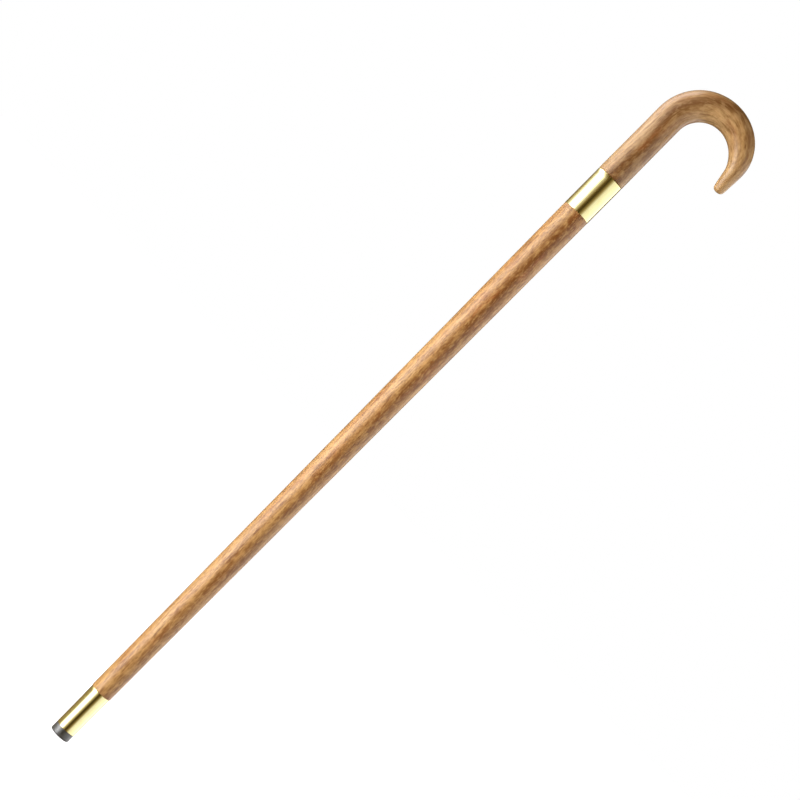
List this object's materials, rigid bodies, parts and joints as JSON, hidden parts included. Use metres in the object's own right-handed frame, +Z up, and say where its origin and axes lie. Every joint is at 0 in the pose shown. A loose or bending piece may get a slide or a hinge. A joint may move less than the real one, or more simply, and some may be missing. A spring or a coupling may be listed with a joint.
{
  "type": "walking cane",
  "caption": "Straight wooden walking cane: a crook handle that unscrews at a brass collar, a tapered shaft, and a brass ferrule holding a rubber tip.",
  "frame": {"origin": "centre of the rubber tip's ground face, with the cane upright", "axes": "+Z up the shaft to the handle, +X from the shaft towards the crook's nose, so the crook lies in the XZ plane"},
  "size_m": [0.1079, 0.0324, 0.9247],
  "materials": {
    "shaft_wood": "satin lacquer",
    "handle_wood": "satin lacquer",
    "brass": "polished",
    "rubber": "satin",
    "steel": "zinc plated",
    "fibre": "matte"
  },
  "bodies": {
    "shaft": {"shaft": "shaft_wood", "collar": "brass", "collar_pin_right": "brass", "collar_pin_left": "brass", "threaded_insert": "brass", "ferrule": "brass", "ferrule_pin": "brass", "rubber_tip": "rubber", "tip_washer": "steel", "tip_screw": "steel"},
    "joint_washer": {"joint_washer": "fibre"},
    "handle": {"handle_stud": "steel", "crook_handle": "handle_wood"}
  },
  "joints": [
    {"name": "handle_rise", "type": "slide", "parent": "shaft", "child": "joint_washer", "axis": [0, 0, 1], "range_m": [0, 0.018]},
    {"name": "handle_turn", "type": "hinge", "parent": "joint_washer", "child": "handle", "pos_m": [0, 0, 0.77], "axis": [0, 0, 1], "range_deg": [0, 4320]}
  ],
  "couplings": [
    {"joint": "handle_rise", "follows": "handle_turn", "m_per_rad": 0.00023873}
  ]
}
